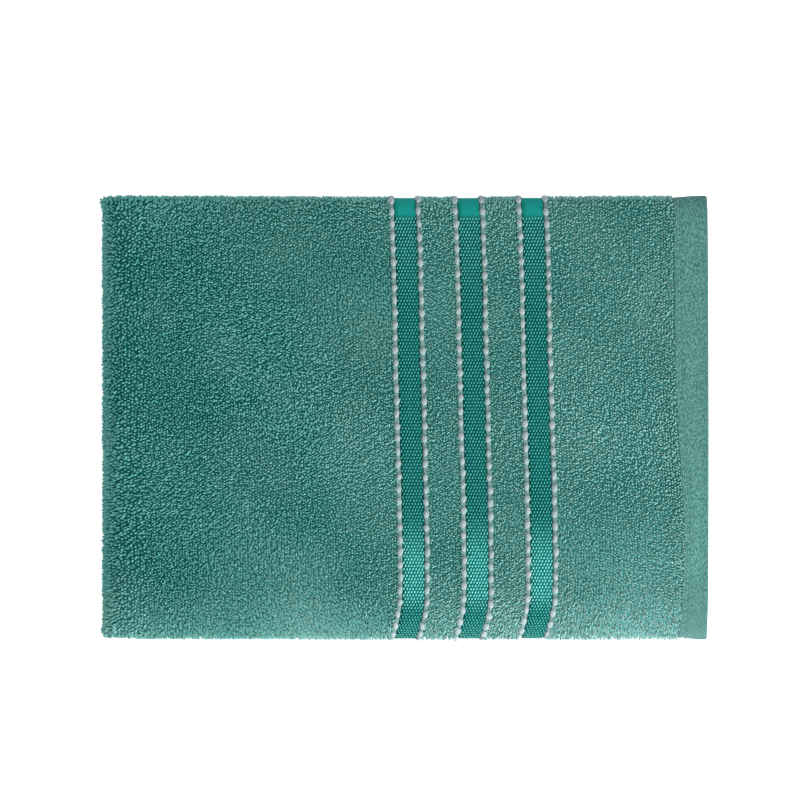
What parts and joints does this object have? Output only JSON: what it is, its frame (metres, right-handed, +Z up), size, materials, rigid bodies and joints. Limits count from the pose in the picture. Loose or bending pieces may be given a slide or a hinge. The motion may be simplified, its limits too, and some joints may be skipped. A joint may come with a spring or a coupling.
{
  "type": "bath towel set",
  "caption": "Stack of two folded terry bath towels with rounded folds, woven end hems, and satin bands edged by beaded cords across the ends.",
  "frame": {"origin": "bottom centre of the folded stack, on the surface it lies on", "axes": "+X towards the woven end hems, +Y across the fold in thirds, +Z up"},
  "size_m": [0.3237, 0.2366, 0.0957],
  "materials": {
    "terry_cloth": "looped cotton terry pile",
    "satin_band": "glossy rayon satin weave",
    "bead_yarn": "pale beaded effect yarn",
    "hem_weave": "flat-woven cotton",
    "sewing_thread": "polyester sewing thread"
  },
  "bodies": {
    "lower_towel": {"lower_bottom_panel": "terry_cloth", "lower_inner_bead_cords_1": "bead_yarn", "lower_inner_bead_cords_2": "bead_yarn", "lower_inner_bead_cords_3": "bead_yarn", "lower_inner_end_hem": "hem_weave", "lower_inner_fold": "terry_cloth", "lower_inner_hem_seam": "sewing_thread", "lower_inner_satin_band_1": "satin_band", "lower_inner_satin_band_2": "satin_band", "lower_inner_satin_band_3": "satin_band", "lower_outer_fold": "terry_cloth", "lower_right_fold": "terry_cloth", "lower_second_panel": "terry_cloth", "lower_side_hems_bottom_half": "hem_weave", "lower_side_hems_top_half": "hem_weave", "lower_third_panel": "terry_cloth", "lower_top_bead_cords_1": "bead_yarn", "lower_top_bead_cords_2": "bead_yarn", "lower_top_bead_cords_3": "bead_yarn", "lower_top_end_hem": "hem_weave", "lower_top_hem_seam": "sewing_thread", "lower_top_panel": "terry_cloth", "lower_top_satin_band_1": "satin_band", "lower_top_satin_band_2": "satin_band", "lower_top_satin_band_3": "satin_band"},
    "upper_towel": {"upper_bottom_panel": "terry_cloth", "upper_inner_fold": "terry_cloth", "upper_outer_fold": "terry_cloth", "upper_right_fold": "terry_cloth", "upper_second_panel": "terry_cloth", "upper_side_hems_bottom_half": "hem_weave"},
    "upper_towel_top_half": {"upper_inner_bead_cords_1": "bead_yarn", "upper_inner_bead_cords_2": "bead_yarn", "upper_inner_bead_cords_3": "bead_yarn", "upper_inner_end_hem": "hem_weave", "upper_inner_hem_seam": "sewing_thread", "upper_inner_satin_band_1": "satin_band", "upper_inner_satin_band_2": "satin_band", "upper_inner_satin_band_3": "satin_band", "upper_side_hems_top_half": "hem_weave", "upper_third_panel": "terry_cloth", "upper_top_bead_cords_1": "bead_yarn", "upper_top_bead_cords_2": "bead_yarn", "upper_top_bead_cords_3": "bead_yarn", "upper_top_end_hem": "hem_weave", "upper_top_hem_seam": "sewing_thread", "upper_top_panel": "terry_cloth", "upper_top_satin_band_1": "satin_band", "upper_top_satin_band_2": "satin_band", "upper_top_satin_band_3": "satin_band"}
  },
  "joints": [
    {"name": "upper_towel_lift", "type": "slide", "parent": "lower_towel", "child": "upper_towel", "axis": [0, 0, 1], "range_m": [0, 0.15]},
    {"name": "upper_towel_unfold", "type": "hinge", "parent": "upper_towel", "child": "upper_towel_top_half", "pos_m": [-0.138, 0, 0.07185], "axis": [0, -1, 0], "range_deg": [0, 179.5], "deforming": ["upper_outer_fold", "upper_inner_fold"]}
  ]
}
